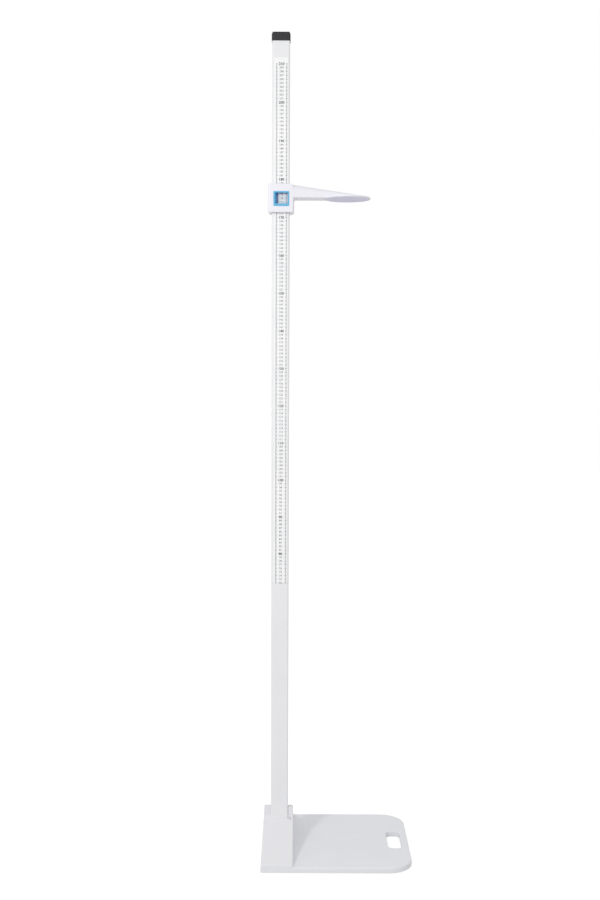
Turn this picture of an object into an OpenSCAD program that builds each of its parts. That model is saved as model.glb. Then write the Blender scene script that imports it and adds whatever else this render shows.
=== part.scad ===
// Portable height measuring rod: a moulded platform with a flared column foot, a
// plug-together column with a printed scale, and a head slide that runs along it.
// Millimetres. +X runs from the column to the platform's front edge, +Z is up, the floor is
// Z = 0 and the origin is the middle of the platform's footprint. The scale faces -Y.

/* [Platform] */
// Length from the rear edge to the front edge
plate_l = 402; // [370:1:440]
// Width across the platform
plate_w = 366; // [340:1:400]
// Height of the moulded platform, without its rubber feet
plate_h = 14; // [12:0.5:20]
// Radius of the two front corners
front_r = 65; // [45:1:85]
// Thickness of the deck
deck_skin = 3; // [2:0.1:4]
// Spacing of the stiffening ribs under the deck
rib_pitch = 46; // [38:1:70]
// Length of the hand hole, across the platform
hand_l = 112; // [90:1:125]
// Width of the hand hole, along the platform
hand_w = 38; // [30:1:44]
// Web between the hand hole and the front edge
hand_web = 19.5; // [16:0.5:28]
// How far the rubber feet stand below the platform
pad_proud = 1.5; // [1:0.1:3]

/* [Column foot] */
// Distance from the platform's rear edge to the column's axis
setback = 47; // [46:0.5:56]
// Height of the two cheeks beside the column, above the deck
cheek_h = 94; // [84:1:110]
// Thickness of the cheeks, across the platform
cheek_t = 22; // [16:1:28]
// Height above the deck at which the slopes start
shoulder_h = 69; // [60:1:76]
// How far each slope sags below a straight line
slope_sag = 5; // [2:0.5:10]
// Distance from the column's axis to the foot's front face
foot_front = 38; // [37:0.5:42]
// Lean of the foot's rear face over its height
rear_lean = 4.8; // [2:0.2:6]

/* [Column] */
// Width of the face that carries the scale
column_w = 47; // [44:0.5:50]
// Depth of the extrusion
column_d = 34; // [30:0.5:36]
// Radius of its long edges
column_r = 4; // [3:0.5:6]
// Wall of the extrusion
column_wall = 2; // [1.6:0.1:2.4]
// Length of each of the three column pieces
piece_l = 720; // [600:1:760]
// Overlap of each joiner in the pieces that it connects
joiner_reach = 70; // [50:1:90]
// Height of the top cap above the column
cap_h = 23; // [18:0.5:30]
// Overhang of the cap's collar round the column
cap_lip = 1.2; // [0.8:0.1:2]

/* [Scale] */
// Width of the printed strip
strip_w = 37; // [30:0.5:38]
// Thickness of the strip
strip_t = 0.3; // [0.2:0.05:0.3]
// Height above the deck at which the scale ends
scale_top = 2116; // [2000:1:2150]

/* [Head slide] */
// Height of the underside of the head plate above the deck: the reading
reading = 1750; // [800:1:2050]
// Width of the housing, along X
housing_w = 69; // [66:0.5:74]
// Depth of the housing, along Y
housing_d = 66; // [64:0.5:72]
// Height of the housing
housing_h = 75; // [70:1:80]
// Wall of the mouldings
shell_t = 3; // [2.4:0.1:3.4]
// Distance from the column's axis to the middle of the head plate
plate_reach = 177; // [160:1:200]
// Radius of the head plate's rim
rim_r = 62; // [56:1:70]
// Height of the rim
rim_h = 4; // [3.6:0.1:6]
// Width of the arm
arm_w = 60; // [52:1:62]
// Height of the arm where it leaves the housing
arm_h = 36.2; // [32:0.2:36.6]

/* [Hidden] */
$fn = 48;

column_x = setback - plate_l / 2;
deck_z = pad_proud + plate_h;
eps = 0.01;

// Platform
rear_r = 4.5;
side_draft = 0.8;
plate_edge = 3.6;
skirt_t = 2.6;
rib_t = 2.2;
hand_r = 15;
hand_x = plate_l / 2 - hand_web - hand_w / 2;
pad_r = 11;
pad_sunk = 3;
pad_spots = [
    for (y = [-1, 1]) [24 - plate_l / 2, y * (plate_w / 2 - 24)],
    for (y = [-1, 1]) [plate_l / 2 - 45, y * (plate_w / 2 - 45)]
];

// Column foot, measured from the column's axis and the deck
foot_rear = side_draft - setback;
foot_end = plate_w / 2 - side_draft;
foot_lip = 4;
foot_t = 3;
foot_ribs = [-110, -70, 70, 110];
foot_rib_t = 2;
cheek_r = 4;
cheek_edge = 2.5;
slope_steps = 14;
throat_t = 3;
throat_z = 45;
slope_a = [cheek_t / 2, shoulder_h];
slope_b = [foot_end, foot_lip];
slope_chord = slope_b - slope_a;
slope_len = norm(slope_chord);
slope_r = (slope_len * slope_len / 4 + slope_sag * slope_sag) / (2 * slope_sag);
slope_o = (slope_a + slope_b) / 2
    + [-slope_chord.y, slope_chord.x] / slope_len * (slope_r - slope_sag);
function slope_lean(y) = asin((slope_o.x - y) / slope_r);

// Socket sleeve and the screws that hold it
sleeve_fit = 0.3;
sleeve_t = 2.6;
sleeve_h = 43;
flange_size = [68, 68, 4];
dome_at = [28.5, 16.5];
dome_r = 3.6;
dome_h = 2.6;
dome_seat = 0.3;
flange_screws = [for (x = [-29, 12], y = [-28, 28]) [x, y]];
foot_posts = [for (x = [-32, 22], y = [-140, 140]) [x, y]];
base_screw_spots = concat(flange_screws, foot_posts);
screw_r = 1.9;
boss_h = 5;

// Column
bore_w = column_w - 2 * column_wall;
bore_d = column_d - 2 * column_wall;
bore_r = column_r - column_wall / 2;
joiner_fit = 0.2;
joiner_t = 2.5;
joiner_screw_drops = [22, 50];
csk_r = 3.5;
csk_h = 1.7;
joint_step = 0.5;
column_top = 3 * piece_l;
strip_x = 0.5;

// Head slide, measured from the column's axis and the reading plane
housing_x = 1;
housing_z = -38;
housing_r = 6;
housing_edge = 2.5;
housing_hip = 8;
part_y = 27;
part_gap = 0.15;
window_at = [1.7, -2.5];
window_size = [37, 34];
bezel_lip = 2.5;
bezel_proud = 0.9;
bezel_rear = -18.6;
sight_front = [[-14.4, -15.4], [17.8, 11.5]];
sight_rear = [[-7.3, -14], [17.6, 11.5]];
guide_w = 51;
guide_d = 38;
guide_r = 5.5;
glide_w = 47.7;
glide_d = 35.4;
post_r = 3;
post_z = 18;
post_x = [housing_x - housing_w / 2 + shell_t + post_r, housing_x + housing_w / 2 - shell_t - post_r];
arm_root = 29;
arm_edge = 6;
nose_x = 187;
nose_h = 8.5;
arm_fall = atan((arm_h - nose_h) / (nose_x + arm_w / 2 - arm_root));
rim_t = 3;
rim_edge = 1.2;
rim_skin = 1.6;
arm_t = 2.5;
arm_ledge = 1;
arm_ribs = [62, 88, 114];
arm_rib_t = 1.6;
cover_t = 2;

module rounded_rect(w, d, r) {
    square([w - 2 * r, d], center = true);
    square([w, d - 2 * r], center = true);
    for (x = [-1, 1], y = [-1, 1])
        translate([x * (w / 2 - r), y * (d / 2 - r)]) circle(r);
}

module at_column(z = 0) {
    translate([column_x, 0, deck_z + z]) children();
}

module at_slide() {
    at_column(reading) children();
}

// Sweeps a profile drawn in Y and Z along X, from x0 to x1
module along_x(x0, x1) {
    translate([x0, 0, 0]) rotate([90, 0, 90]) linear_extrude(x1 - x0) children();
}

// Sweeps a profile drawn in X and Z along Y, from y0 to y1
module along_y(y0, y1) {
    translate([0, y1, 0]) rotate([90, 0, 0]) linear_extrude(y1 - y0) children();
}

// ---- Platform ----

// A stack of outlines, each [height, inset], hulled into one drafted block
module plate_stack(levels) {
    hull() for (level = levels)
        translate([0, 0, level[0]]) linear_extrude(eps) for (y = [-1, 1]) {
            translate([plate_l / 2 - front_r, y * (plate_w / 2 - front_r)])
                circle(front_r - level[1], $fn = 72);
            translate([rear_r - plate_l / 2, y * (plate_w / 2 - rear_r)])
                circle(rear_r - level[1], $fn = 24);
        }
}

// The part of the platform under the foot keeps a square top edge
module plate_rear() {
    hull() for (level = [[0, 0], [plate_h - eps, side_draft]])
        translate([0, 0, level[0]]) linear_extrude(eps) for (y = [-1, 1]) {
            translate([rear_r - plate_l / 2, y * (plate_w / 2 - rear_r)])
                circle(rear_r - level[1], $fn = 24);
            translate([column_x + foot_front - 1, y * (plate_w / 2 - 0.5 - level[1])])
                square(1, center = true);
        }
}

module deck_ribs() {
    for (i = [-4:4])
        translate([i * rib_pitch - rib_t / 2, -plate_w / 2, 1]) cube([rib_t, plate_w, plate_h]);
    for (i = [-3:3])
        translate([-plate_l / 2, i * rib_pitch - rib_t / 2, 1]) cube([plate_l, rib_t, plate_h]);
}

module base_plate() {
    color("whitesmoke") translate([0, 0, pad_proud]) difference() {
        union() {
            plate_stack(concat([[0, 0]], [for (a = [0:22.5:90])
                [plate_h - eps - plate_edge * (1 - sin(a)), 0.6 + plate_edge * (1 - cos(a))]]));
            plate_rear();
        }
        difference() {
            plate_stack([[-1, skirt_t], [plate_h - deck_skin, skirt_t + side_draft]]);
            deck_ribs();
            translate([hand_x, 0, 0]) linear_extrude(plate_h)
                rounded_rect(hand_w + 2 * skirt_t, hand_l + 2 * skirt_t, hand_r + skirt_t);
            for (spot = pad_spots) translate(spot) cylinder(r = pad_r + 3, h = plate_h);
            for (spot = base_screw_spots)
                translate([column_x + spot.x, spot.y, plate_h - deck_skin - boss_h])
                    cylinder(r = 6, h = boss_h + 1);
        }
        translate([hand_x, 0, -1]) linear_extrude(plate_h + 2) rounded_rect(hand_w, hand_l, hand_r);
        for (spot = pad_spots) translate([spot.x, spot.y, -1]) cylinder(r = pad_r + 0.1, h = pad_sunk + 1);
        for (spot = base_screw_spots) translate([column_x + spot.x, spot.y, -1]) {
            cylinder(r = screw_r + 0.2, h = plate_h + 2);
            cylinder(r = 6, h = plate_h - deck_skin - boss_h + 1);
        }
    }
}

module rubber_feet() {
    color("gray") for (spot = pad_spots) translate([spot.x, spot.y, 0]) {
        cylinder(r1 = pad_r - 1, r2 = pad_r, h = 1);
        translate([0, 0, 1]) cylinder(r = pad_r, h = pad_proud + pad_sunk - 1);
    }
}

// ---- Column foot ----

// A point on the slope, y from the column's axis and t inside the skin
function slope_point(y, t) = [y, slope_o.y - sqrt(pow(slope_r + t, 2) - pow(y - slope_o.x, 2))];

// A quarter turn of a rounded corner, from pointing along +X to pointing along +Y
function corner_arc(centre, r) = [for (a = [0:15:90]) centre + r * [cos(a), sin(a)]];

// The foot seen along the platform: two sagging slopes up to the cheeks, t inside the skin
module foot_front_view(t, z0) {
    inner = cheek_t / 2 - t;
    outer = foot_end - t;
    right = concat([[outer, z0]],
        [for (i = [0:slope_steps]) slope_point(outer + (inner - outer) * i / slope_steps, t)],
        corner_arc([inner - cheek_edge, cheek_h - t - cheek_edge], cheek_edge));
    left = [for (i = [len(right) - 1:-1:0]) [-right[i].x, right[i].y]];
    polygon(concat(right, left));
}

// The foot seen across the platform: a leaning rear face and a rounded front corner
module foot_side_view(t, z0) {
    top = cheek_h - t;
    front = foot_front - t;
    polygon(concat([[foot_rear + t, z0], [front, z0]],
        corner_arc([front - cheek_r, top - cheek_r], cheek_r),
        [[foot_rear + rear_lean + t, top]]));
}

module foot_form(t, z0) {
    intersection() {
        along_x(foot_rear - 1, foot_front + 1) foot_front_view(t, z0);
        along_y(-foot_end - 1, foot_end + 1) foot_side_view(t, z0);
    }
}

module column_hole(gap, z0, z1) {
    translate([0, 0, z0]) linear_extrude(z1 - z0)
        rounded_rect(column_w + 2 * gap, column_d + 2 * gap, column_r + gap);
}

// Puts a child on the slope beside the column, square to the slope, near and far
module on_slopes() {
    for (side = [-1, 1]) translate([dome_at.x, side * dome_at.y, slope_point(dome_at.y, 0).y])
        rotate([-side * slope_lean(dome_at.y), 0, 0]) children();
}

module column_foot() {
    color("white") at_column() difference() {
        foot_form(0, 0);
        difference() {
            foot_form(foot_t, -1);
            column_hole(0.4 + throat_t, throat_z, cheek_h);
            for (spot = foot_posts) translate(spot) cylinder(r = 4.5, h = cheek_h);
            for (y = foot_ribs) translate([foot_rear, y - foot_rib_t / 2, 0])
                cube([foot_front - foot_rear, foot_rib_t, cheek_h]);
        }
        column_hole(0.4, -1, cheek_h + 1);
        for (spot = foot_posts) translate([spot.x, spot.y, -1]) cylinder(r = screw_r, h = 11);
        on_slopes() {
            translate([0, 0, -11]) cylinder(r = screw_r + 0.1, h = 13);
            translate([0, 0, -dome_seat]) cylinder(r = dome_r + 0.4, h = 3);
        }
    }
}

module socket_sleeve() {
    size = [column_w + 2 * (sleeve_fit + sleeve_t), column_d + 2 * (sleeve_fit + sleeve_t)];
    color("silver") at_column() difference() {
        union() {
            linear_extrude(flange_size.z)
                translate([-1, 0]) rounded_rect(flange_size.x, flange_size.y, 4);
            linear_extrude(sleeve_h) rounded_rect(size.x, size.y, column_r + sleeve_t);
            intersection() {
                for (side = [-1, 1]) translate([dome_at.x, side * (dome_at.y - 1.5), 0])
                    cylinder(r = 5.5, h = shoulder_h);
                along_x(0, foot_front) foot_front_view(foot_t + 0.2, 0);
            }
        }
        column_hole(sleeve_fit, -1, shoulder_h);
        column_hole(0.4 + throat_t + sleeve_fit, throat_z - sleeve_fit, shoulder_h);
        for (spot = flange_screws) translate([spot.x, spot.y, -1]) cylinder(r = screw_r, h = 6);
        on_slopes() translate([0, 0, -14]) cylinder(r = screw_r, h = 20);
    }
}

module cross_slot(reach, depth) {
    for (turn = [0, 90]) rotate(turn)
        translate([-reach, -0.4, -depth]) cube([2 * reach, 0.8, depth + 1]);
}

module foot_screws() {
    ball = (dome_r * dome_r + dome_h * dome_h) / (2 * dome_h);
    color("white") at_column() on_slopes() translate([0, 0, -dome_seat]) difference() {
        union() {
            intersection() {
                translate([0, 0, dome_h - ball]) sphere(ball);
                translate([-dome_r, -dome_r, 0]) cube([2 * dome_r, 2 * dome_r, dome_h]);
            }
            translate([0, 0, -9]) cylinder(r = screw_r - 0.05, h = 9.5);
        }
        translate([0, 0, dome_h]) cross_slot(1.8, 1.4);
    }
}

module base_screws() {
    head_h = 2.4;
    head_z = -deck_skin - boss_h;
    color("silver") at_column() for (spot = base_screw_spots)
        translate([spot.x, spot.y, head_z]) difference() {
            union() {
                translate([0, 0, -head_h]) cylinder(r1 = 3, r2 = 3.6, h = head_h);
                cylinder(r = screw_r - 0.05, h = deck_skin + boss_h + 8);
            }
            translate([0, 0, -head_h]) mirror([0, 0, 1]) cross_slot(1.9, 1.3);
        }
}

// ---- Column ----

module column_piece(index) {
    z0 = index * piece_l;
    at_column(z0) difference() {
        union() {
            translate([0, 0, joint_step]) linear_extrude(piece_l - 2 * joint_step)
                rounded_rect(column_w, column_d, column_r);
            linear_extrude(piece_l)
                rounded_rect(column_w - joint_step, column_d - joint_step, column_r - joint_step / 2);
        }
        translate([0, 0, -1]) linear_extrude(piece_l + 2) rounded_rect(bore_w, bore_d, bore_r);
        if (index < 2) for (drop = joiner_screw_drops)
            translate([-column_w / 2, 0, piece_l - drop]) rotate([0, 90, 0]) {
                translate([0, 0, -1]) cylinder(r = screw_r + 0.1, h = column_wall + 2);
                cylinder(r1 = csk_r + 0.1, r2 = screw_r + 0.1, h = csk_h);
            }
    }
}

module column_lower() { color("whitesmoke") column_piece(0); }
module column_middle() { color("whitesmoke") column_piece(1); }
module column_upper() { color("whitesmoke") column_piece(2); }

// A box spigot, screwed into the piece below it, on which the next piece slides down
module joiner(index) {
    w = bore_w - 2 * joiner_fit;
    d = bore_d - 2 * joiner_fit;
    r = bore_r - joiner_fit;
    at_column(index * piece_l) difference() {
        translate([0, 0, -joiner_reach]) linear_extrude(2 * joiner_reach) difference() {
            rounded_rect(w, d, r);
            rounded_rect(w - 2 * joiner_t, d - 2 * joiner_t, 1);
        }
        for (drop = joiner_screw_drops)
            translate([-column_w / 2, 0, -drop]) rotate([0, 90, 0]) cylinder(r = screw_r, h = 8);
    }
}

module joiner_lower() { color("silver") joiner(1); }
module joiner_upper() { color("silver") joiner(2); }

module joiner_screws() {
    color("silver") for (index = [1, 2], drop = joiner_screw_drops)
        at_column(index * piece_l - drop) translate([-column_w / 2, 0, 0]) rotate([0, 90, 0])
            difference() {
                union() {
                    cylinder(r1 = csk_r, r2 = screw_r, h = csk_h);
                    cylinder(r = screw_r - 0.05, h = 8);
                }
                mirror([0, 0, 1]) cross_slot(1.9, 1.2);
            }
}

module scale_strip(z0, z1) {
    color("white") at_column(z0)
        translate([strip_x - strip_w / 2, -column_d / 2 - strip_t, 0])
            cube([strip_w, strip_t, z1 - z0]);
}

module scale_middle() { scale_strip(piece_l, 2 * piece_l); }
module scale_upper() { scale_strip(2 * piece_l, scale_top); }

module top_cap() {
    plug_h = 16;
    levels = [[0, 0], [cap_h - 6, 0], [cap_h - 3.5, 0.8], [cap_h - 1.2, 2.4], [cap_h - eps, 4.6]];
    color([0.16, 0.16, 0.17]) at_column(column_top) {
        hull() for (level = levels) translate([0, 0, level[0]]) linear_extrude(eps)
            for (x = [-1, 1], y = [-1, 1])
                translate([x * (column_w / 2 + cap_lip - 5.2), y * (column_d / 2 + cap_lip - 5.2)])
                    circle(5.2 - level[1], $fn = 32);
        translate([0, 0, -plug_h]) linear_extrude(plug_h + 1) {
            difference() {
                rounded_rect(bore_w - 1.4, bore_d - 1.4, bore_r - 0.7);
                rounded_rect(bore_w - 5, bore_d - 5, 1);
            }
            for (x = [-1, 0, 1]) translate([x * bore_w / 4, 0])
                square([1.6, bore_d - 0.4], center = true);
            square([bore_w - 0.4, 1.6], center = true);
        }
    }
}

// ---- Head slide ----

// The housing seen from the front, t inside its skin: its lower corners are the rounder ones
module housing_front_view(t) {
    w = housing_w - 2 * t + 1;
    h = housing_h - 2 * t;
    translate([housing_x, housing_z + housing_h / 2]) {
        rounded_rect(w, h, housing_hip - t);
        translate([0, h / 4]) rounded_rect(w, h / 2, max(housing_edge - t, 1));
    }
}

// The housing's outer block: three rounded outlines, crossed
module housing_block() {
    intersection() {
        translate([housing_x, 0, housing_z]) linear_extrude(housing_h)
            rounded_rect(housing_w, housing_d, housing_r);
        along_y(-housing_d, housing_d) housing_front_view(0);
        along_x(-housing_w, housing_w) translate([0, housing_z + housing_h / 2])
            rounded_rect(housing_d + 1, housing_h, housing_edge);
    }
}

module housing_cavity() {
    intersection() {
        translate([housing_x, 0, housing_z + shell_t]) linear_extrude(housing_h - 2 * shell_t)
            rounded_rect(housing_w - 2 * shell_t, housing_d - 2 * shell_t, housing_r - shell_t);
        along_y(-housing_d, housing_d) housing_front_view(shell_t);
    }
}

// The wedge from the housing to the head plate, t inside its skin: a round-topped section
// along the sloping top, cut to a strip with a round nose
module arm_form(t) {
    half = arm_w / 2 - t;
    intersection() {
        translate([arm_root, 0, arm_h]) rotate([0, arm_fall, 0]) along_x(-20, 2 * nose_x) {
            translate([-half, -2 * arm_h]) square([2 * half, 2 * arm_h - arm_edge]);
            translate([arm_edge - t - half, -arm_edge - 1])
                square([2 * (half - arm_edge + t), arm_edge - t + 1]);
            for (side = [-1, 1])
                translate([side * (half - arm_edge + t), -arm_edge]) circle(arm_edge - t);
        }
        linear_extrude(2 * arm_h) {
            translate([arm_root - 4 + t, -half]) square([nose_x - arm_root + 4 - t, 2 * half]);
            translate([nose_x, 0]) circle(half, $fn = 72);
        }
    }
}

module slider_shell() {
    wall_x = housing_x + housing_w / 2;
    fillet = 4;
    color("white") at_slide() difference() {
        union() {
            housing_block();
            arm_form(0);
            translate([plate_reach, 0, 0]) rotate_extrude($fn = 96) intersection() {
                translate([0, rim_h / 2]) rounded_rect(2 * rim_r, rim_h, rim_edge);
                square([rim_r + 1, rim_h]);
            }
            along_y(4 - arm_w / 2, arm_w / 2 - 4) translate([wall_x - 0.5, -fillet]) difference() {
                square([fillet + 0.5, fillet + 0.5]);
                translate([fillet + 0.5, 0]) circle(fillet);
            }
        }
        difference() {
            housing_cavity();
            for (x = post_x, z = [-post_z, post_z]) translate([x, part_y, z]) rotate([90, 0, 0])
                cylinder(r = post_r + 0.3, h = 8);
        }
        translate([-housing_w, part_y, housing_z - 1]) cube([2 * housing_w - 2, housing_d, housing_h + 2]);
        for (x = post_x, z = [-post_z, post_z]) translate([x, part_y + 1, z]) rotate([90, 0, 0])
            cylinder(r = 1.25, h = 8);
        translate([0, 0, housing_z - 1]) linear_extrude(housing_h + 2)
            rounded_rect(guide_w, guide_d, guide_r);
        along_y(-housing_d / 2 - 1, -housing_d / 2 + shell_t + 1)
            translate(window_at) rounded_rect(window_size.x, window_size.y, 2);
        difference() {
            arm_form(arm_t + arm_ledge);
            translate([-1, -arm_w, -1]) cube([wall_x + 1, 2 * arm_w, arm_h + 2]);
            translate([0, 0, -1]) linear_extrude(cover_t + 1) square(3 * plate_reach, center = true);
            for (x = arm_ribs) translate([x, -arm_w, 0]) cube([arm_rib_t, 2 * arm_w, arm_h]);
            translate([0, -arm_rib_t / 2, 0]) cube([plate_reach, arm_rib_t, arm_h]);
            translate([plate_reach, 0, 0]) difference() {
                cylinder(r = rim_r, h = rim_h - rim_skin + eps);
                translate([0, 0, -1]) cylinder(r = rim_r - rim_t, h = rim_h + 2);
            }
        }
        translate([0, 0, -1]) linear_extrude(cover_t + 1) arm_opening(0);
        translate([plate_reach, 0, -1]) cylinder(r = rim_r - rim_t, h = rim_h - rim_skin + 1, $fn = 96);
    }
}

// The opening under the arm, from the housing's wall to the head plate's rim
module arm_opening(gap) {
    x0 = housing_x + housing_w / 2 + 5;
    difference() {
        translate([x0 + gap, arm_t + gap - arm_w / 2])
            square([plate_reach - x0, arm_w - 2 * (arm_t + gap)]);
        translate([plate_reach, 0]) circle(rim_r + gap, $fn = 96);
    }
}

module arm_base() {
    color("white") at_slide() linear_extrude(cover_t) arm_opening(0.15);
}

module head_plate() {
    r = rim_r - rim_t - 0.2;
    dish = 1.2;
    top = rim_h - rim_skin;
    low = 0.3;
    color([0.78, 0.76, 0.86]) at_slide() translate([plate_reach, 0, 0]) rotate_extrude($fn = 96)
        polygon(concat(
            [for (i = [0:8]) [r * i / 8, low + dish * (1 - pow(i / 8, 2))]],
            [[r, top], [0, top]]));
}

module slider_back() {
    color("white") at_slide() difference() {
        intersection() {
            housing_block();
            translate([-housing_w, part_y + part_gap, housing_z - 1])
                cube([2 * housing_w, housing_d, housing_h + 2]);
        }
        difference() {
            housing_cavity();
            for (x = post_x, z = [-post_z, post_z]) translate([x, housing_d / 2, z])
                rotate([90, 0, 0]) cylinder(r = post_r + 0.3, h = 8);
            for (z = [-29, 28]) translate([-8, part_y, z]) cube([16, 4, 1.6]);
        }
        for (x = post_x, z = [-post_z, post_z]) translate([x, housing_d / 2 + 1, z])
            rotate([90, 0, 0]) {
                cylinder(r = 1.6, h = 8);
                cylinder(r = post_r, h = 2.6);
            }
    }
}

module slider_screws() {
    head_y = housing_d / 2 - 1.6;
    color("silver") at_slide() for (x = post_x, z = [-post_z, post_z])
        translate([x, head_y, z]) rotate([90, 0, 0]) difference() {
            union() {
                translate([0, 0, -1.4]) cylinder(r = 2.8, h = 1.4);
                cylinder(r = 1.2, h = 10);
            }
            translate([0, 0, -1.4]) mirror([0, 0, 1]) cross_slot(1.5, 0.8);
        }
}

// A slab of the sight funnel, from one corner to the other, at depth y
module sight_slab(corners, grow, y) {
    size = corners[1] - corners[0];
    translate([corners[0].x - grow, y, corners[0].y - grow])
        cube([size.x + 2 * grow, eps, size.y + 2 * grow]);
}

module window_bezel() {
    face_y = -housing_d / 2;
    pointer_x = sight_front[1].x + 0.2;
    color("deepskyblue") at_slide() {
        difference() {
            union() {
                along_y(face_y - bezel_proud, face_y) translate(window_at)
                    rounded_rect(window_size.x + 2 * bezel_lip, window_size.y + 2 * bezel_lip, 2.5);
                along_y(face_y - eps, face_y + shell_t) translate(window_at)
                    rounded_rect(window_size.x - 0.3, window_size.y - 0.3, 2);
                hull() {
                    sight_slab(sight_front, 1.8, face_y + shell_t - eps);
                    sight_slab(sight_rear, 1.8, bezel_rear - eps);
                }
            }
            hull() {
                sight_slab(sight_front, 0, face_y - bezel_proud - eps);
                sight_slab(sight_rear, 0, bezel_rear);
            }
        }
        along_y(face_y - bezel_proud, face_y + 1)
            polygon([[pointer_x, -2], [pointer_x - 3.4, 0], [pointer_x, 2]]);
    }
}

module glide(z_face, inward) {
    flange_z = inward > 0 ? shell_t + 0.05 : -shell_t - 2.05;
    color("ghostwhite") at_slide() translate([0, 0, z_face]) difference() {
        union() {
            translate([0, 0, inward > 0 ? 0 : -8]) linear_extrude(8)
                rounded_rect(guide_w - 0.2, guide_d - 0.2, guide_r - 0.1);
            translate([0, 0, flange_z]) linear_extrude(2)
                rounded_rect(guide_w + 3, guide_d + 3, guide_r + 1.5);
        }
        translate([0, 0, -20]) linear_extrude(40) rounded_rect(glide_w, glide_d, 4.2);
    }
}

module glide_upper() { glide(housing_z + housing_h, -1); }
module glide_lower() { glide(housing_z, 1); }

module brake_spring() {
    reach = 27;
    tip_y = housing_d / 2 - shell_t - 0.1;
    bow_y = 23.5;
    bow = tip_y - bow_y;
    r = (reach * reach + bow * bow) / (2 * bow);
    color("silver") at_slide() along_x(-7, 7) intersection() {
        translate([bow_y + r, 0]) difference() {
            circle(r, $fn = 180);
            circle(r - 0.8, $fn = 180);
        }
        translate([bow_y - 1, -reach]) square([bow + 1, 2 * reach]);
    }
}

module brake_pad() {
    near_y = column_d / 2 + 0.35;
    color("dimgray") at_slide() along_y(near_y, 23.4) rounded_rect(16, 22, 2);
}

base_plate();
rubber_feet();
column_foot();
socket_sleeve();
foot_screws();
base_screws();
column_lower();
column_middle();
column_upper();
joiner_lower();
joiner_upper();
joiner_screws();
scale_middle();
scale_upper();
top_cap();
slider_shell();
slider_back();
window_bezel();
arm_base();
head_plate();
glide_upper();
glide_lower();
brake_spring();
brake_pad();
slider_screws();
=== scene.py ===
"""Looks of a portable height measuring rod: platform, flared foot, column with a printed
scale, and the head slide. Everything is in metres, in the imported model's own frame."""

import math

import bmesh
import bpy
from mathutils import Matrix, Vector


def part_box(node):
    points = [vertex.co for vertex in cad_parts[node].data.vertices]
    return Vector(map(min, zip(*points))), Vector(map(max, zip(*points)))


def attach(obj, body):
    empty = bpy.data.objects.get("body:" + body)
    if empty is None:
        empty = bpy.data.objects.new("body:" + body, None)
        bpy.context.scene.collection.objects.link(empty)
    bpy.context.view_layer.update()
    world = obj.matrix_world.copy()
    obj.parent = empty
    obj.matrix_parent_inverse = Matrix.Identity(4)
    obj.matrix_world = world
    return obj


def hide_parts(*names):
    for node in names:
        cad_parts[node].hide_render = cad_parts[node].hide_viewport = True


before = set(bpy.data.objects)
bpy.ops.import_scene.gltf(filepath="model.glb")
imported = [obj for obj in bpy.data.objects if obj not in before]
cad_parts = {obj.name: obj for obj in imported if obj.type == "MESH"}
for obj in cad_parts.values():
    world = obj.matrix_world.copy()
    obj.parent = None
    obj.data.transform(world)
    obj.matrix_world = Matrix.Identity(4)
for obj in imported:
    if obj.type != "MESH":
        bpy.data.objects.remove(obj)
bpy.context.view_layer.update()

MM = 0.001
AXES = {"x": Vector((1, 0, 0)), "y": Vector((0, 1, 0)), "z": Vector((0, 0, 1))}

# Driving places, from the frame
PLATE_LOW, PLATE_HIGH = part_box("base_plate")
FOOT_LOW, FOOT_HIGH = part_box("column_foot")
COLUMN_LOW, COLUMN_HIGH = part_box("column_lower")
COLUMN_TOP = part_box("column_upper")[1].z
COLUMN_X = (COLUMN_LOW.x + COLUMN_HIGH.x) / 2
STRIP_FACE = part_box("scale_middle")[0].y
DECK = PLATE_HIGH.z
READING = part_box("arm_base")[0].z


# ---- Modelling helpers ----

def deselect_all():
    bpy.ops.object.select_all(action="DESELECT")


def choose(piece):
    """Makes one object the only selected and active one."""
    deselect_all()
    piece.hide_set(False)
    piece.select_set(True)
    bpy.context.view_layer.objects.active = piece


def settle(piece, name):
    """Names the active new primitive and puts its place and size into its mesh."""
    piece.name = name
    choose(piece)
    bpy.ops.object.transform_apply(location=True, rotation=True, scale=True)
    return piece


def block(name, low, high):
    """A box from its lowest to its highest corner."""
    deselect_all()
    low, high = Vector(low), Vector(high)
    bpy.ops.mesh.primitive_cube_add(size=1, location=(low + high) / 2)
    bpy.context.object.scale = high - low
    return settle(bpy.context.object, name)


def drum(name, centre, radius, height, sides=64, tip_radius=None, turn=(0, 0, 0)):
    """A cylinder or cone that stands on centre and points along the turned Z axis."""
    deselect_all()
    bpy.ops.mesh.primitive_cone_add(
        vertices=sides, radius1=radius, radius2=radius if tip_radius is None else tip_radius,
        depth=height, location=(0, 0, height / 2))
    piece = settle(bpy.context.object, name)
    piece.rotation_euler = turn
    piece.location = centre
    return settle(piece, name)


def pick(piece, kind, test):
    """In edit mode, selects the vertices, edges or faces that pass a test."""
    bpy.ops.mesh.select_mode(type=kind)
    bpy.ops.mesh.select_all(action="DESELECT")
    mesh = bmesh.from_edit_mesh(piece.data)
    elements = {"VERT": mesh.verts, "EDGE": mesh.edges, "FACE": mesh.faces}[kind]
    for element in elements:
        if test(element):
            element.select_set(True)
    mesh.select_flush_mode()
    bmesh.update_edit_mesh(piece.data)


def in_edit(piece, kind, test, operator, **settings):
    """Runs one edit mode operator on the elements that pass a test."""
    choose(piece)
    bpy.ops.object.mode_set(mode="EDIT")
    pick(piece, kind, test)
    operator(**settings)
    bpy.ops.object.mode_set(mode="OBJECT")


def middle(edge):
    return (edge.verts[0].co + edge.verts[1].co) / 2


def runs_along(edge, axis):
    run = edge.verts[1].co - edge.verts[0].co
    return run.length > 1e-6 and abs(run.normalized().dot(AXES[axis])) > 0.999


def near(value, target, slack=0.02 * MM):
    return abs(value - target) < slack


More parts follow.
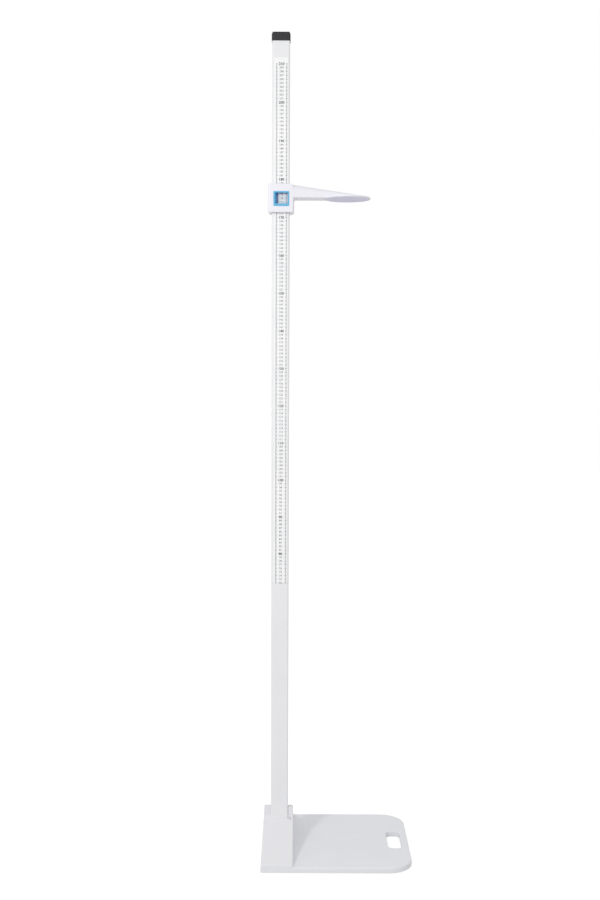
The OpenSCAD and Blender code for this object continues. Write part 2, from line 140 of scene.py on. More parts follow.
def bevel(piece, test, width, segments):
    in_edit(piece, "EDGE", test, bpy.ops.mesh.bevel, offset=width, segments=segments,
            affect="EDGES", clamp_overlap=False)


def rim_edges(face_test):
    """A test for the edges round faces that pass face_test."""
    def test(edge):
        return sum(bool(face_test(face)) for face in edge.link_faces) == 1
    return test


def facing(axis, sign, place=None):
    """A test for faces that point one way, at one place along that axis where it is given."""
    index = "xyz".index(axis)

    def test(face):
        points = face.normal[index] * sign > 0.999
        return points and (place is None or near(face.calc_center_median()[index], place))
    return test


def modify(piece, kind, **settings):
    """Adds one modifier and applies it."""
    choose(piece)
    bpy.ops.object.modifier_add(type=kind)
    modifier = piece.modifiers[-1]
    for name, value in settings.items():
        setattr(modifier, name, value)
    bpy.ops.object.modifier_apply(modifier=modifier.name)


def combine(piece, operation, others):
    """Cuts, joins or crosses a piece with others, which are used up."""
    for other in others:
        modify(piece, "BOOLEAN", operation=operation, solver="EXACT", object=other)
        bpy.data.objects.remove(other)
    return piece


def cut(piece, *others):
    return combine(piece, "DIFFERENCE", others)


def weld(piece, *others):
    return combine(piece, "UNION", others)


def join(name, parts):
    """Joins separate parts into one object."""
    deselect_all()
    for part in parts:
        part.select_set(True)
    bpy.context.view_layer.objects.active = parts[0]
    bpy.ops.object.join()
    parts[0].name = name
    return parts[0]


def halve(piece, place, toward, **settings):
    """Cuts a piece along a plane. The settings say which side goes and whether it is closed."""
    in_edit(piece, "FACE", lambda face: True, bpy.ops.mesh.bisect, plane_co=place,
            plane_no=toward, threshold=1e-7, **settings)


def clean(piece):
    in_edit(piece, "VERT", lambda vert: True, bpy.ops.mesh.remove_doubles, threshold=0.002 * MM)


def shade(piece, angle=35):
    """Smooth shading with flat faces kept flat and sharp edges kept sharp."""
    choose(piece)
    bpy.ops.object.shade_smooth_by_angle(angle=math.radians(angle))
    modify(piece, "WEIGHTED_NORMAL", keep_sharp=True, weight=80)


def dress(piece, body, paint, nodes=()):
    """Gives a finished piece its body, slot, material and the CAD nodes that it stands for."""
    piece.data.materials.clear()
    piece.data.materials.append(paint)
    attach(piece, body)
    if nodes:
        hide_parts(*nodes)
    return piece


# ---- Materials ----

class Value:
    """A shader socket. An expression on values adds its Math nodes."""

    def __init__(self, paint, socket):
        self.paint = paint
        self.socket = socket

    def _math(self, operation, first, second):
        return self.paint.node("ShaderNodeMath", {"operation": operation}, {0: first, 1: second})

    def __add__(self, other):
        return self._math("ADD", self, other)

    def __sub__(self, other):
        return self._math("SUBTRACT", self, other)

    def __rsub__(self, other):
        return self._math("SUBTRACT", other, self)

    def __mul__(self, other):
        return self._math("MULTIPLY", self, other)

    __radd__ = __add__
    __rmul__ = __mul__


class Paint:
    """One material: its node tree and its shader."""

    def __init__(self, name, **constants):
        self.material = bpy.data.materials.new(name)
        self.material.use_nodes = True
        self.tree = self.material.node_tree
        self.shader = self.tree.nodes["Principled BSDF"]
        for socket, value in constants.items():
            self.shader.inputs[socket.replace("_", " ")].default_value = value

    def node(self, kind, settings=None, inputs=None, output=0):
        """Adds a node: its settings first, a ramp's stops among them, then its sockets."""
        made = self.tree.nodes.new(kind)
        for name, value in (settings or {}).items():
            if name == "stops":
                self._set_stops(made.color_ramp, value)
            else:
                setattr(made, name, value)
        for key, value in (inputs or {}).items():
            self.feed(made.inputs[key], value)
        return Value(self, made.outputs[output])

    @staticmethod
    def _set_stops(ramp, stops):
        while len(ramp.elements) < len(stops):
            ramp.elements.new(0.5)
        for element, (place, grey) in zip(ramp.elements, stops):
            element.position = place
            element.color = (grey, grey, grey, 1)

    def feed(self, socket, value):
        if isinstance(value, Value):
            self.tree.links.new(value.socket, socket)
        else:
            socket.default_value = value

    def place(self):
        return self.node("ShaderNodeTexCoord", output="Object")

    def noise(self, grain, detail=2.0, roughness=0.5):
        """Noise from 0 to 1 with grains of about this size, in metres."""
        return self.node("ShaderNodeTexNoise", None, {
            "Vector": self.place(), "Scale": 1 / grain, "Detail": detail,
            "Roughness": roughness}, output="Fac")

    def ramp(self, value, *stops):
        return self.node("ShaderNodeValToRGB", {"stops": stops}, {"Fac": value})

    def mix(self, factor, first, second):
        """A blend of two colours."""
        return self.node("ShaderNodeMix", {"data_type": "RGBA"},
                         {0: factor, 6: first, 7: second}, output=2)

    def bump(self, height, distance, strength=1.0):
        """Sends a height from 0 to 1 to the shader's normal, this many metres deep."""
        bumped = self.node("ShaderNodeBump", None, {
            "Strength": strength, "Distance": distance, "Height": height}, output="Normal")
        self.feed(self.shader.inputs["Normal"], bumped)

    def set(self, socket, value):
        self.feed(self.shader.inputs[socket], value)


def tone(red, green, blue):
    """A colour as the eye sees it, 0 to 255, made linear for the shader."""
    def linear(part):
        part /= 255
        return part / 12.92 if part <= 0.04045 else ((part + 0.055) / 1.055) ** 2.4
    return (linear(red), linear(green), linear(blue), 1.0)


def moulded_white(name, colour, shade_colour, grain, roughness, depth):
    """Pale moulded plastic: spark-eroded grain, slow tint drift and handling marks. The grain's
    size and depth are in metres."""
    paint = Paint(name, Specular_IOR_Level=0.3)
    drift = paint.ramp(paint.noise(90 * MM, 3.0), (0.35, 0.0), (0.7, 1.0))
    paint.set("Base Color", paint.mix(drift * 0.6, colour, shade_colour))
    smudge = paint.ramp(paint.noise(22 * MM, 4.0, 0.6), (0.45, 0.0), (0.75, 1.0))
    paint.set("Roughness", smudge * 0.1 + roughness)
    paint.bump(paint.noise(grain, 2.0, 0.6), depth)
    return paint.material


def powder_coat():
    """White powder coat on the extrusion: a faint orange peel."""
    paint = Paint("powder_coat", Specular_IOR_Level=0.5)
    drift = paint.ramp(paint.noise(140 * MM, 2.0), (0.35, 0.0), (0.7, 1.0))
    paint.set("Base Color", paint.mix(drift, tone(239, 239, 241), tone(236, 236, 239)))
    peel = paint.noise(1.6 * MM, 2.0, 0.55)
    paint.set("Roughness", peel * 0.12 + 0.3)
    paint.bump(peel, 0.02 * MM)
    return paint.material


def printed_film():
    """The scale's film: smooth, with a faint wave from its adhesive."""
    paint = Paint("printed_film", Specular_IOR_Level=0.5)
    drift = paint.ramp(paint.noise(60 * MM, 2.0), (0.4, 0.0), (0.7, 1.0))
    paint.set("Base Color", paint.mix(drift, tone(250, 250, 250), tone(246, 247, 248)))
    paint.set("Roughness", paint.noise(9 * MM, 2.0) * 0.12 + 0.26)
    paint.bump(paint.noise(14 * MM, 2.0), 0.05 * MM)
    return paint.material


def scale_ink(name, colour):
    """Screen printed ink, a little uneven."""
    paint = Paint(name)
    uneven = paint.noise(1.1 * MM, 2.0, 0.7)
    paint.set("Base Color", paint.mix(uneven * 0.3, colour, tone(70, 70, 76)))
    paint.set("Roughness", uneven * 0.15 + 0.4)
    return paint.material


def blue_gloss():
    """Glossy blue moulding of the reading window, with painted shade that darkens the blue towards
    the back of its sight funnel.
    """
    paint = Paint("blue_gloss", Coat_Weight=0.35, Coat_Roughness=0.12)
    drift = paint.ramp(paint.noise(12 * MM, 2.0), (0.35, 0.0), (0.7, 1.0))
    face = paint.mix(drift, tone(88, 180, 224), tone(78, 172, 218))
    # Painted shade: the blue turns to a deep navy from the front of the sight funnel towards its
    # back.
    depth = paint.node("ShaderNodeSeparateXYZ", None, {"Vector": paint.place()}, output="Y")
    painted_throat_shade = paint.node("ShaderNodeMapRange", None, {
        "Value": depth, "From Min": -32 * MM, "From Max": -22 * MM})
    paint.set("Base Color", paint.mix(painted_throat_shade, face, tone(46, 112, 184)))
    fine = paint.noise(0.8 * MM, 2.0, 0.6)
    paint.set("Roughness", fine * 0.15 + 0.26)
    paint.bump(fine, 0.01 * MM)
    return paint.material


def black_grain():
    """Black moulded cap with a fine leather-like grain and worn lighter spots."""
    paint = Paint("black_grain", Specular_IOR_Level=0.4)
    pits = paint.node("ShaderNodeTexVoronoi", {"feature": "F1"},
                      {"Vector": paint.place(), "Scale": 1 / (0.9 * MM)}, output="Distance")
    haze = paint.ramp(paint.noise(14 * MM, 4.0, 0.6), (0.45, 0.0), (0.8, 1.0))
    paint.set("Base Color", paint.mix(haze * 0.7, tone(30, 30, 33), tone(44, 44, 48)))
    paint.set("Roughness", haze * 0.12 + 0.45)
    paint.bump(pits, 0.05 * MM)
    return paint.material


def rubber(name, colour, dusty):
    """Matte rubber with a pebbled skin and dust."""
    paint = Paint(name, Specular_IOR_Level=0.3)
    dust = paint.ramp(paint.noise(7 * MM, 4.0, 0.7), (0.45, 0.0), (0.75, 1.0))
    paint.set("Base Color", paint.mix(dust * 0.5, colour, dusty))
    paint.set("Roughness", dust * 0.12 + 0.75)
    paint.bump(paint.noise(0.7 * MM, 2.0, 0.6), 0.06 * MM)
    return paint.material


def metal(name, colour, stretch, roughness):
    """Bare metal with its drawing or rolling lines stretched along one axis."""
    paint = Paint(name, Metallic=1.0)
    lines = paint.node("ShaderNodeTexNoise", None, {
        "Vector": paint.node("ShaderNodeMapping", None,
                             {"Vector": paint.place(), "Scale": stretch}),
        "Scale": 1 / MM, "Detail": 3.0}, output="Fac")
    stain = paint.ramp(paint.noise(18 * MM, 3.0), (0.4, 0.0), (0.75, 1.0))
    darker = tuple(0.82 * part for part in colour[:3]) + (1.0,)
    paint.set("Base Color", paint.mix(stain * 0.6 + lines * 0.2, colour, darker))
    paint.set("Roughness", lines * 0.18 + roughness)
    paint.bump(lines, 0.012 * MM)
    return paint.material


def natural_nylon():
    """Milky nylon of the glide frames."""
    paint = Paint("natural_nylon", Subsurface_Weight=0.2)
    drift = paint.ramp(paint.noise(9 * MM, 3.0), (0.35, 0.0), (0.7, 1.0))
    paint.set("Base Color", paint.mix(drift, tone(236, 236, 230), tone(224, 224, 216)))
    fine = paint.noise(1.2 * MM, 2.0)
    paint.set("Roughness", fine * 0.15 + 0.35)
    paint.bump(fine, 0.02 * MM)
    return paint.material


PLATFORM_WHITE = moulded_white(
    "platform_white", tone(236, 237, 241), tone(233, 234, 239), 0.9 * MM, 0.46, 0.05 * MM)
FOOT_WHITE = moulded_white(
    "foot_white", tone(236, 236, 239), tone(233, 233, 237), 0.9 * MM, 0.44, 0.04 * MM)
SLIDE_WHITE = moulded_white(
    "slide_white", tone(243, 242, 249), tone(240, 239, 247), 0.7 * MM, 0.36, 0.02 * MM)
# The head plate's lilac grey is partly its own tint and partly painted shade of its underside,
# which keeps it darker than the other whites.
PLATE_LILAC_PAINTED_SHADE = moulded_white(
    "plate_lilac_painted_shade", tone(224, 223, 246), tone(219, 218, 242), 0.8 * MM, 0.4, 0.03 * MM)
SCREW_WHITE = moulded_white(
    "screw_white", tone(236, 236, 238), tone(230, 230, 232), 0.5 * MM, 0.34, 0.01 * MM)
COLUMN_COAT = powder_coat()
SCALE_FILM = printed_film()
INK_DARK = scale_ink("ink_dark", tone(44, 44, 50))
INK_BOLD = scale_ink("ink_bold", tone(30, 30, 35))
BEZEL_BLUE = blue_gloss()
CAP_BLACK = black_grain()
FOOT_RUBBER = rubber("grey_rubber", tone(86, 86, 88), tone(120, 119, 117))
PAD_RUBBER = rubber("dark_rubber", tone(38, 38, 39), tone(62, 61, 60))
MILL_ALUMINIUM = metal("mill_aluminium", tone(205, 207, 210), (1, 1, 0.02), 0.34)
ZINC_PLATE = metal("zinc_plate", tone(200, 202, 206), (1, 1, 1), 0.3)
SPRING_STEEL = metal("spring_steel", tone(176, 177, 180), (1, 1, 0.03), 0.26)
NYLON = natural_nylon()


# ---- Platform ----

def platform():
    """Drafted slab with big round front corners, hand hole and ribbed hollow underside."""
    front_r, rear_r = 65 * MM, 4.5 * MM
    draft, edge_r, grip_r = 0.8 * MM, 3.6 * MM, 15 * MM
    skirt, deck_skin, rib, pitch = 2.6 * MM, 3 * MM, 2.2 * MM, 46 * MM
    boss_r, recess_r, screw_boss_r, screw_hole_r = 14 * MM, 11.1 * MM, 6 * MM, 2.1 * MM
    seam_x = FOOT_HIGH.x - 0.4 * MM  # the foot's front, behind which the deck's edge is sharp
    slab = block("platform", PLATE_LOW, PLATE_HIGH)
    bevel(slab, lambda e: runs_along(e, "z") and middle(e).x > 0, front_r, 22)
    bevel(slab, lambda e: runs_along(e, "z") and middle(e).x < seam_x, rear_r, 5)
    size = PLATE_HIGH - PLATE_LOW
    in_edit(slab, "FACE", facing("z", 1), bpy.ops.transform.resize,
            value=(1 - 2 * draft / size.x, 1 - 2 * draft / size.y, 1),
            center_override=(0, 0, DECK))
    halve(slab, (seam_x, 0, 0), (1, 0, 0))
    on_top = facing("z", 1)
    bevel(slab, lambda e: rim_edges(on_top)(e) and middle(e).x > seam_x + 0.1 * MM, edge_r, 5)
    bevel(slab, lambda e: rim_edges(facing("z", -1))(e), 0.6 * MM, 2)

    hole, web = Vector((19 * MM, 56 * MM, 30 * MM)), 19.5 * MM
    hole_x = PLATE_HIGH.x - web - hole.x
    pocket = block("pocket", PLATE_LOW + Vector((skirt, skirt, -10 * MM)),
                   PLATE_HIGH - Vector((skirt, skirt, deck_skin)))
    bevel(pocket, lambda e: runs_along(e, "z") and middle(e).x > 0, front_r - skirt, 22)
    cell = pitch - rib
    first_cell = Vector((-4.5 * pitch + rib / 2, -4 * pitch + rib / 2, -20 * MM))
    cells = block("cells", first_cell, first_cell + Vector((cell, cell, 60 * MM)))
    for count, step in ((10, (pitch, 0, 0)), (8, (0, pitch, 0))):
        modify(cells, "ARRAY", count=count, use_relative_offset=False,
               use_constant_offset=True, constant_offset_displace=step)
    combine(pocket, "INTERSECT", [cells])
    collar = block("collar", (hole_x - hole.x - skirt, -hole.y - skirt, -hole.z),
                   (hole_x + hole.x + skirt, hole.y + skirt, hole.z))
    bevel(collar, lambda e: runs_along(e, "z"), grip_r + skirt, 8)
    feet = [drum("boss", (x, y, -20 * MM), boss_r, 60 * MM, 40) for x, y in foot_spots()]
    screws = [drum("screw_boss", (x, y, PLATE_HIGH.z - 8 * MM), screw_boss_r, 20 * MM, 24)
              for x, y in base_screw_spots()]
    cut(pocket, collar, *feet, *screws)
    cut(slab, pocket)
    grip = block("grip", (hole_x - hole.x, -hole.y, -hole.z), (hole_x + hole.x, hole.y, hole.z))
    bevel(grip, lambda e: runs_along(e, "z"), grip_r, 12)
    cut(slab, grip)

    def round_hole(face_test):
        rim = rim_edges(face_test)
        return lambda e: (rim(e) and abs(middle(e).x - hole_x) < hole.x + 0.1 * MM
                          and abs(middle(e).y) < hole.y + 0.1 * MM)
    bevel(slab, round_hole(facing("z", 1, DECK)), 2 * MM, 4)
    recesses = [drum("recess", (x, y, PLATE_LOW.z - 10 * MM), recess_r, 13 * MM, 48)
                for x, y in foot_spots()]
    holes = [drum("screw_hole", (x, y, -5 * MM), screw_hole_r, 40 * MM, 20)
             for x, y in base_screw_spots()]
    cut(slab, *recesses, *holes)
    clean(slab)
    shade(slab)
    return dress(slab, "base", PLATFORM_WHITE, ["base_plate"])


FOOT_PAD_R = 11 * MM


def foot_spots():
    """Places of the four rubber feet under the platform. The front ones stand closer together."""
    low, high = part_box("rubber_feet")
    front_x, rear_x = high.x - FOOT_PAD_R, low.x + FOOT_PAD_R
    side = high.y - FOOT_PAD_R
    front_side = side - 21 * MM
    return [(rear_x, side), (rear_x, -side), (front_x, front_side), (front_x, -front_side)]


def base_screw_spots():
    """Places of the eight screws that hold the foot and its sleeve from below."""
    sleeve = [(x, y) for x in (-29 * MM, 12 * MM) for y in (-28 * MM, 28 * MM)]
    posts = [(x, y) for x in (-32 * MM, 22 * MM) for y in (-140 * MM, 140 * MM)]
    return [(COLUMN_X + x, y) for x, y in sleeve + posts]


def rubber_feet():
    """Four pads, each with a recessed underside."""
    low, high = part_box("rubber_feet")
    ring, recess = 3 * MM, 0.8 * MM
    disc_area = math.pi * (FOOT_PAD_R - ring - 1 * MM) ** 2
    underside = facing("z", -1)
    pads = []
    for x, y in foot_spots():
        pad = drum("pad", (x, y, low.z), FOOT_PAD_R, high.z - low.z, 48)
        in_edit(pad, "FACE", underside, bpy.ops.mesh.inset, thickness=ring, depth=0)
        in_edit(pad, "FACE", lambda f: underside(f) and f.calc_area() > disc_area,
                bpy.ops.transform.translate, value=(0, 0, recess))
        bevel(pad, lambda e: rim_edges(facing("z", -1, low.z))(e)
              and (middle(e) - Vector((x, y, low.z))).length > FOOT_PAD_R - 1 * MM, 1 * MM, 3)
        pads.append(pad)
    feet = join("rubber_feet_round", pads)
    shade(feet)
    return dress(feet, "base", FOOT_RUBBER, ["rubber_feet"])


# ---- Column foot ----

def column_foot():
    """Two sagging slopes up to a pair of cheeks that stand beside the column. The form is drawn
    out in Y through its stations, each a height on the slope's arc."""
    cheek, shoulder, lip, sag = 11 * MM, 69 * MM, 4 * MM, 5 * MM
    half = FOOT_HIGH.y
    lean, shoulder_r = 4.8 * MM, 4 * MM
    height = FOOT_HIGH.z - DECK
    chord = math.hypot(half - cheek, shoulder - lip)
    radius = (chord * chord / 4 + sag * sag) / (2 * sag)
    rise = (half - cheek) / chord, (shoulder - lip) / chord
    centre = ((cheek + half) / 2 + rise[1] * (radius - sag),
              (shoulder + lip) / 2 + rise[0] * (radius - sag))

    def slope(y):
        return centre[1] - math.sqrt(radius ** 2 - (y - centre[0]) ** 2)

    steps = 24
    ys = [half + (cheek - half) * i / steps for i in range(steps + 1)]
    stations = [(-y, slope(y)) for y in ys] + [(y, slope(y)) for y in reversed(ys)]
    y0, h0 = stations[0]
    foot = block("foot", (FOOT_LOW.x, y0, DECK), (FOOT_HIGH.x, stations[1][0], DECK + h0))
    choose(foot)
    bpy.ops.object.mode_set(mode="EDIT")
    pick(foot, "FACE", facing("y", 1))
    bpy.ops.transform.resize(value=(1, 1, stations[1][1] / h0), center_override=(0, 0, DECK))
    for (y_from, h_from), (y_to, h_to) in zip(stations[1:], stations[2:]):
        bpy.ops.mesh.extrude_region_move(TRANSFORM_OT_translate={"value": (0, y_to - y_from, 0)})
        bpy.ops.transform.resize(value=(1, 1, h_to / h_from), center_override=(0, 0, DECK))
    pick(foot, "FACE", lambda f: f.normal.z > 0.99 and abs(f.calc_center_median().y) < cheek)
    bpy.ops.mesh.extrude_region_move(TRANSFORM_OT_translate={"value": (0, 0, height - shoulder)})
    pick(foot, "EDGE", lambda e: runs_along(e, "x") and near(abs(middle(e).y), cheek)
         and near(middle(e).z, DECK + shoulder))
    bpy.ops.mesh.bevel(offset=shoulder_r, segments=5, affect="EDGES", clamp_overlap=False)
    pick(foot, "FACE", lambda f: True)
    bpy.ops.mesh.bisect(plane_co=(FOOT_LOW.x, 0, DECK), use_fill=True, clear_inner=True,
                        plane_no=(height, 0, -lean), threshold=1e-7)
    bpy.ops.object.mode_set(mode="OBJECT")
    top = facing("z", 1, FOOT_HIGH.z)
    bevel(foot, lambda e: rim_edges(top)(e) and runs_along(e, "y")
          and middle(e).x > COLUMN_X, 4 * MM, 5)
    bevel(foot, lambda e: e.calc_face_angle() > math.radians(50)
          and middle(e).z > DECK + 0.1 * MM, 1.3 * MM, 3)
    gap = Vector((0.2 * MM, 0.2 * MM, 10 * MM))
    bore = block("bore", COLUMN_LOW - gap, COLUMN_HIGH + gap)
    bevel(bore, lambda e: runs_along(e, "z"), 4.2 * MM, 6)
    screw_x, screw_y = COLUMN_X + 28.5 * MM, 16.5 * MM
    seat_r, seat_depth = 4.5 * MM, 1.6 * MM
    tilt = math.asin((centre[0] - screw_y) / radius)
    seats = []
    for side in (-1, 1):
        turn = -side * tilt
        into = Vector((0, math.sin(turn), -math.cos(turn))) * seat_depth
        on_slope = Vector((screw_x, side * screw_y, DECK + slope(screw_y)))
        seats.append(drum("seat", on_slope + into, seat_r, 5 * MM, 32, None, (turn, 0, 0)))
    cut(foot, bore, *seats)
    clean(foot)
    shade(foot)
    return dress(foot, "base", FOOT_WHITE, ["column_foot"])


# ---- Column ----

def column_piece(node):
    """A hollow extrusion with softened ends, so that the joint above it shows as a line."""
    low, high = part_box(node)
    wall, corner_r, bore_r, end_r = 2 * MM, 4 * MM, 3 * MM, 0.9 * MM
    tube = block(node + "_tube", low, high)
    bevel(tube, lambda e: runs_along(e, "z"), corner_r, 7)
    bevel(tube, rim_edges(lambda f: abs(f.normal.z) > 0.9), end_r, 2)
    inset = Vector((wall, wall, -10 * MM))
    bore = block("bore", low + inset, high - inset)
    bevel(bore, lambda e: runs_along(e, "z"), bore_r, 5)
    cut(tube, bore)
    if node != "column_upper":
        sink_r, hole_r, sink_depth, start = 3.6 * MM, 2 * MM, 1.7 * MM, 0.5 * MM
        sideways = (0, math.radians(90), 0)
        for drop in (22 * MM, 50 * MM):
            mouth = Vector((low.x - start, 0, high.z - drop))
            cut(tube, drum("sink", mouth, sink_r + start, sink_depth + start, 32, hole_r, sideways),
                drum("hole", mouth, hole_r, 5 * MM, 32, None, sideways))
    clean(tube)
    shade(tube, 40)
    return dress(tube, "base", COLUMN_COAT, [node])


def top_cap():
    """Black cap: a collar round the column and a rounded, stepped top."""
    low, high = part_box("top_cap")
    low.z = COLUMN_TOP
    step_h, button_h, plug_inset, plug_h = 1.6 * MM, 3.4 * MM, 3.8 * MM, 16 * MM
    plug_area = 1000 * MM * MM  # more than the ring round the plug, less than its end
    cap = block("cap", low, high - Vector((0, 0, step_h + button_h)))
    bevel(cap, lambda e: runs_along(e, "z"), 5.2 * MM, 7)
    in_edit(cap, "FACE", facing("z", 1), bpy.ops.mesh.inset, thickness=1.4 * MM, depth=step_h)
    in_edit(cap, "FACE", facing("z", 1, high.z - button_h), bpy.ops.mesh.extrude_region_move,
            TRANSFORM_OT_translate={"value": (0, 0, button_h)})
    bevel(cap, rim_edges(facing("z", 1, high.z)), 2.4 * MM, 5)
    underside = facing("z", -1, low.z)
    bevel(cap, rim_edges(underside), 0.5 * MM, 2)
    in_edit(cap, "FACE", underside, bpy.ops.mesh.inset, thickness=plug_inset, depth=0)
    in_edit(cap, "FACE", lambda f: underside(f) and f.calc_area() > plug_area,
            bpy.ops.mesh.extrude_region_move, TRANSFORM_OT_translate={"value": (0, 0, -plug_h)})
    clean(cap)
    shade(cap)
    return dress(cap, "base", CAP_BLACK, ["top_cap"])


# ---- Printed scale ----

INK_T, INK_STEP = 0.04 * MM, 0.001 * MM
NUMBER_X = COLUMN_X + 1.5 * MM
LOWEST, JOINT, HIGHEST = 72, 144, 210
PLAIN_SIZE, BOLD_SIZE = 7.6 * MM, 9.8 * MM
LEFT_LINE, RIGHT_LINE = (-12.5, -12.1), (14.2, 14.6)
LEFT_TICKS = [(1, -12.1, -9.8, 0.28), (5, -9.8, -9.0, 0.4), (10, -12.1, -8.0, 0.7)]
RIGHT_TICKS = [(1, 14.6, 16.4, 0.28), (5, 16.4, 17.2, 0.4), (10, 14.6, 18, 0.6),
               (10, 14.2, 11.4, 0.5)]


def height_of(centimetres):
    return DECK + centimetres * 10 * MM


def ink_bar(x0, x1, z0, z1, step=0):
    """One bar of ink, a hair thicker at larger steps, so that crossing bars share no face."""
    return block("bar", (COLUMN_X + min(x0, x1) * MM, STRIP_FACE - INK_T - step * INK_STEP, z0),
                 (COLUMN_X + max(x0, x1) * MM, STRIP_FACE, z1))


def ruler(first, last, line, ticks):
    """One ruler: a line up the strip and its ticks, each (step, from x, to x, thickness), in mm.
    A tick on the joint of two strips belongs to the upper one."""
    z = height_of(first)
    parts = [ink_bar(*line, z, height_of(last))]
    for step, x_from, x_to, thick in ticks:
        bar = ink_bar(x_from, x_to, z - thick * MM / 2, z + thick * MM / 2, step)
        count = (last - first) * 10 // step + (last == HIGHEST)
        modify(bar, "ARRAY", count=count, use_relative_offset=False,
               use_constant_offset=True, constant_offset_displace=(0, 0, step * MM))
        parts.append(bar)
    return parts


def numbers(name, first, last, size, weight, shown):
    """A column of numbers, one line each centimetre; lines that aren't shown stay blank."""
    deselect_all()
    bpy.ops.object.text_add()
    text = bpy.context.object
    text.data.body = "\n".join(str(n) if shown(n) else " " for n in range(last, first - 1, -1))
    text.data.size = size
    text.data.space_line = 10 * MM / size
    text.data.align_x = "CENTER"
    text.data.resolution_u = 2
    text.data.extrude = INK_T / 2
    text.data.bevel_depth = weight
    text.data.bevel_resolution = 0
    choose(text)
    bpy.ops.object.convert(target="MESH")
    mesh = bpy.context.object
    mesh.name = name
    tops = [v.co.y for v in mesh.data.vertices]
    mesh.rotation_euler = (math.radians(90), 0, 0)
    mesh.scale = (1, 1, INK_T / (INK_T + 2 * weight))
    digit_h = 0.7 * size
    first_shown = max(n for n in range(first, last + 1) if shown(n))
    mesh.location = (NUMBER_X, STRIP_FACE - INK_T / 2,
                     height_of(first_shown) - max(tops) + digit_h / 2)
    bpy.ops.object.transform_apply(location=True, rotation=True, scale=True)
    clean(mesh)
    return mesh


def printed_scale():
    """Rulers and numbers on the two strips, which meet at the column's joint."""
    for name, first, last in (("middle", LOWEST, JOINT), ("upper", JOINT, HIGHEST)):
        left = ruler(first, last, LEFT_LINE, LEFT_TICKS)
        right = ruler(first, last, RIGHT_LINE, RIGHT_TICKS)
        first += first == JOINT
        plain = numbers("digits", first, last, PLAIN_SIZE, 0, lambda n: n % 10 != 0)
        marks = join(name + "_marks", [*left, *right, plain])
        dress(marks, "base", INK_DARK)
        bold = numbers(name + "_tens", first, last, BOLD_SIZE, 0.25 * MM, lambda n: n % 10 == 0)
        dress(bold, "base", INK_BOLD)


# ---- Head slide: its measures are in millimetres, through slide_point ----

PARTING = 27  # where the rear cover meets the shell, from the column's axis
PLATE_REACH = 177  # from the column's axis to the middle of the head plate


def slide_point(x, y, z):
    """A point in millimetres from the column's axis and the reading plane."""
    return Vector((COLUMN_X + x * MM, y * MM, READING + z * MM))


def housing_block(name):
    """The housing's outer form: its rounded outlines from above, in front and beside, crossed."""
    piece = block(name, slide_point(-33.5, -33, -38), slide_point(35.5, 33, 37))
    bevel(piece, lambda e: runs_along(e, "z"), 6 * MM, 7)
    front = block("front_view", slide_point(-34, -40, -38), slide_point(36, 40, 37))
    bevel(front, lambda e: runs_along(e, "y") and middle(e).z < READING, 8 * MM, 9)
    bevel(front, lambda e: runs_along(e, "y") and middle(e).z > READING
          and middle(e).x > COLUMN_X, 10 * MM, 9)
    bevel(front, lambda e: runs_along(e, "y") and middle(e).z > READING
          and middle(e).x < COLUMN_X - 30 * MM, 2.5 * MM, 5)
    side = block("side_view", slide_point(-40, -33.5, -38), slide_point(40, 33.5, 37))
    bevel(side, lambda e: runs_along(e, "x"), 2.5 * MM, 5)
    return combine(piece, "INTERSECT", [front, side])


def post_spots():
    """Places of the rear cover's four screws."""
    return [(x, z) for x in (-27.5, 29.5) for z in (-18, 18)]


def arm():
    """The wedge: flush with the housing at its root, with a crowned top that falls to a round
    nose. It is shaped at its full height and then tapered, so that the crown gets lower too."""
    root, slope_start, taper_end, tip, half, flush = 29.4, 29, 75, 217, 30, 33
    floor, top_root, top_tip, crown_r = 0.05, 36.2, 8.5, 17
    fall = (top_root - top_tip) / (tip - slope_start)
    wedge = block("wedge", slide_point(root, -half, floor), slide_point(tip, half, top_root))
    halve(wedge, slide_point(taper_end, 0, 0), (1, 0, 0))
    in_edit(wedge, "VERT", lambda v: v.co.x < COLUMN_X + root * MM + MM,
            bpy.ops.transform.resize, value=(1, flush / half, 1), center_override=(0, 0, 0))
    bevel(wedge, lambda e: runs_along(e, "z") and middle(e).x > COLUMN_X + tip * MM - MM,
          29.98 * MM, 20)
    in_edit(wedge, "VERT", lambda v: True, bpy.ops.mesh.remove_doubles, threshold=0.05 * MM)
    past_root = COLUMN_X + root * MM + MM
    bevel(wedge, lambda e: rim_edges(facing("z", 1))(e) and middle(e).x > past_root,
          crown_r * MM, 10)
    bottom = READING + floor * MM
    for vert in wedge.data.vertices:
        top = top_root - fall * ((vert.co.x - COLUMN_X) / MM - slope_start)
        vert.co.z = bottom + (vert.co.z - bottom) * (top - floor) / (top_root - floor)
    bevel(wedge, lambda e: rim_edges(facing("z", -1))(e) and middle(e).x > past_root, 2.4 * MM, 4)
    return wedge


